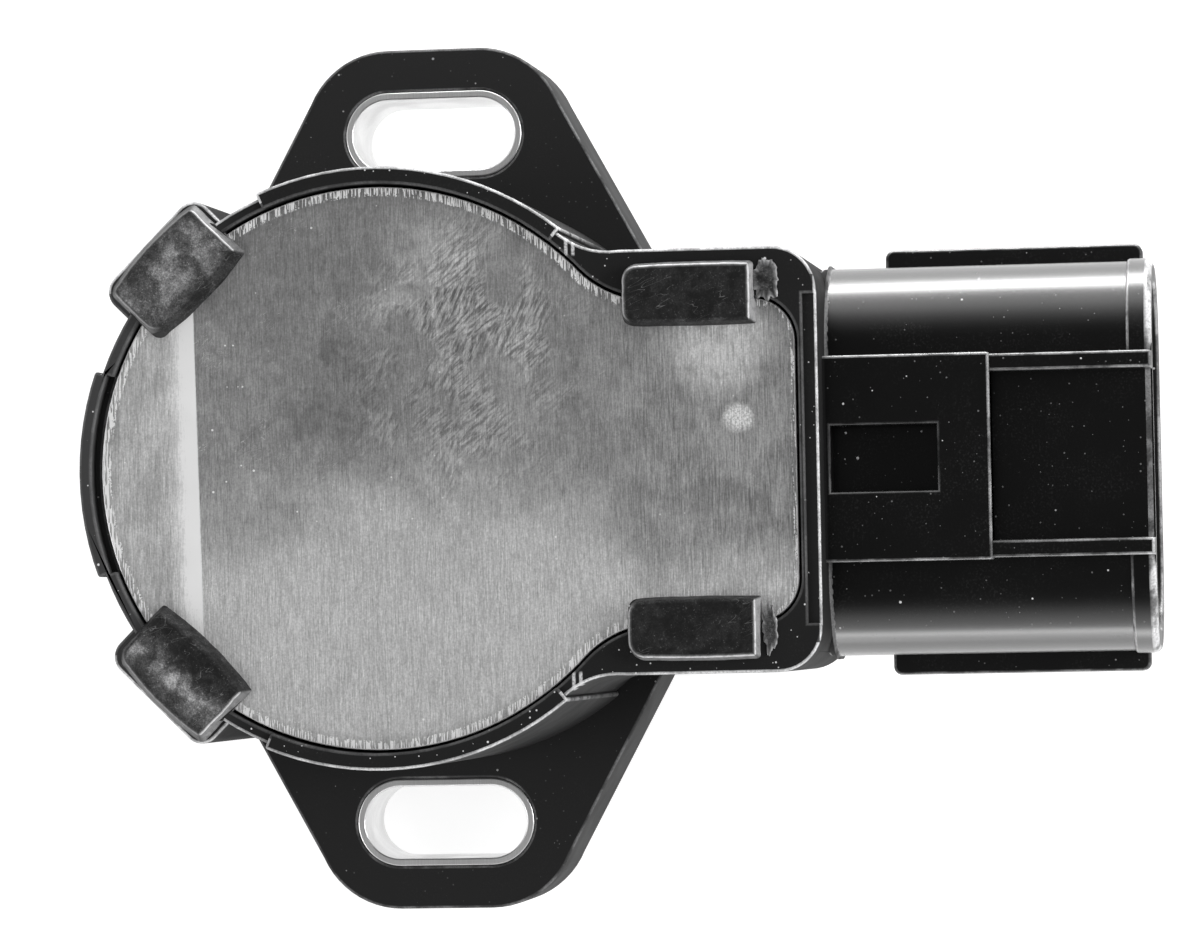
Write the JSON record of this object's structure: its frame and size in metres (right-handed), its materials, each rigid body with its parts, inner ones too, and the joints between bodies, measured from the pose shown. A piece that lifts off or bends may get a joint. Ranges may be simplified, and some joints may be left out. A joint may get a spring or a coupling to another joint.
{
  "type": "throttle position sensor",
  "caption": "Rotary throttle position sensor: round black body with a staked keyhole cover plate, slotted ears and a side connector.",
  "frame": {"origin": "on the rotor axis, in the mounting face, where the locating spigot leaves the flange", "axes": "+Z along the rotor axis, away from the throttle body and out of the cover plate; -Y out of the connector's mouth; +X toward slot_sleeve_upper, the ear at the top of the picture"},
  "size_m": [0.0524, 0.0617, 0.031],
  "materials": {
    "black_plastic": "satin black, glass-filled",
    "sleeve_steel": "zinc plated, cut ends bright",
    "cover_aluminium": "rolled sheet with a straight grain",
    "seal_rubber": "matt black",
    "board_laminate": "off-white laminate",
    "carbon_ink": "printed, matt",
    "silver_ink": "printed, satin",
    "contact_bronze": "bright sheet",
    "tinned_brass": "tinned",
    "solder": "smooth",
    "rotor_plastic": "satin brown-black",
    "spring_steel": "drawn wire and strip",
    "washer_plastic": "smooth off-white"
  },
  "bodies": {
    "sensor": {"housing": "black_plastic", "slot_sleeve_upper": "sleeve_steel", "slot_sleeve_lower": "sleeve_steel", "cover_plate": "cover_aluminium", "cover_gasket": "seal_rubber", "track_board": "board_laminate", "resistor_track": "carbon_ink", "collector_track": "silver_ink", "idle_track": "contact_bronze", "terminal_1": "tinned_brass", "terminal_2": "tinned_brass", "terminal_3": "tinned_brass", "terminal_4": "tinned_brass", "solder_joints": "solder", "return_spring": "spring_steel", "thrust_washer": "washer_plastic", "rotor_seal": "seal_rubber"},
    "turning_part": {"rotor": "rotor_plastic", "drive_clip": "spring_steel", "signal_wiper": "contact_bronze", "idle_wiper": "contact_bronze"}
  },
  "joints": [
    {"name": "rotor_turn", "type": "hinge", "parent": "sensor", "child": "turning_part", "pos_m": [0, 0, 0], "axis": [0, 0, 1], "range_deg": [0, 100], "stiffness_Nm_per_rad": 0.012, "springref_deg": -91.67, "deforming": ["return_spring"]}
  ]
}
